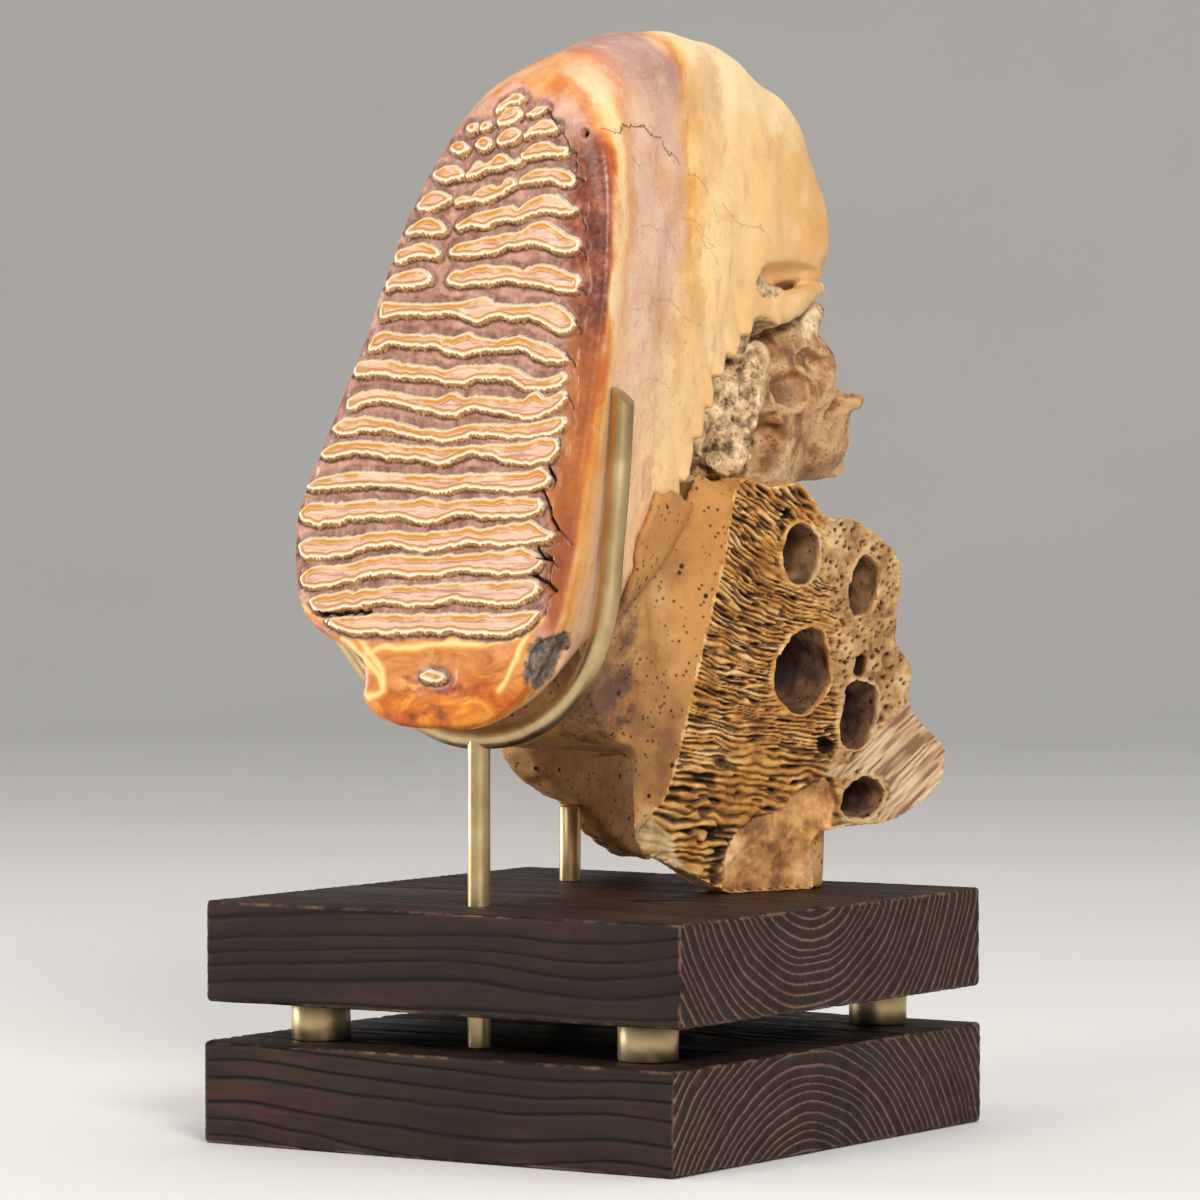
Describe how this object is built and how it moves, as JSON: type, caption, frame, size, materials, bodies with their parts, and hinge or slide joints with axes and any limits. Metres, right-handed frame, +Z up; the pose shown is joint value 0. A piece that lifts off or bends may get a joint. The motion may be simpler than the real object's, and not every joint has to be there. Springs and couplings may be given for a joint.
{
  "type": "mounted mammoth molar in jaw bone",
  "caption": "Whole mammoth molar with a polished grinding face, set in a sawn chunk of jaw bone, held upright in a brass cradle on a dark two-tier wooden base.",
  "frame": {"origin": "centre of the lower board's underside", "axes": "+Z up, -Y the way the grinding face looks, +X towards the sawn side of the jaw bone"},
  "size_m": [0.2, 0.2217, 0.3946],
  "materials": {
    "molar": "polished enamel plates and glossy rim, matt cream to beige flanks",
    "bone": "porous fossil bone, matt, golden ochre where sawn",
    "brass": "satin",
    "wood": "charred and brushed softwood, dark brown with raised grain"
  },
  "bodies": {
    "root": {"molar": "molar", "jaw_bone": "bone", "cradle": "brass", "front_rod": "brass", "rear_rod": "brass", "upper_board": "wood", "lower_board": "wood", "spacer_front_left": "brass", "spacer_front_right": "brass", "spacer_back_left": "brass", "spacer_back_right": "brass"}
  },
  "joints": []
}
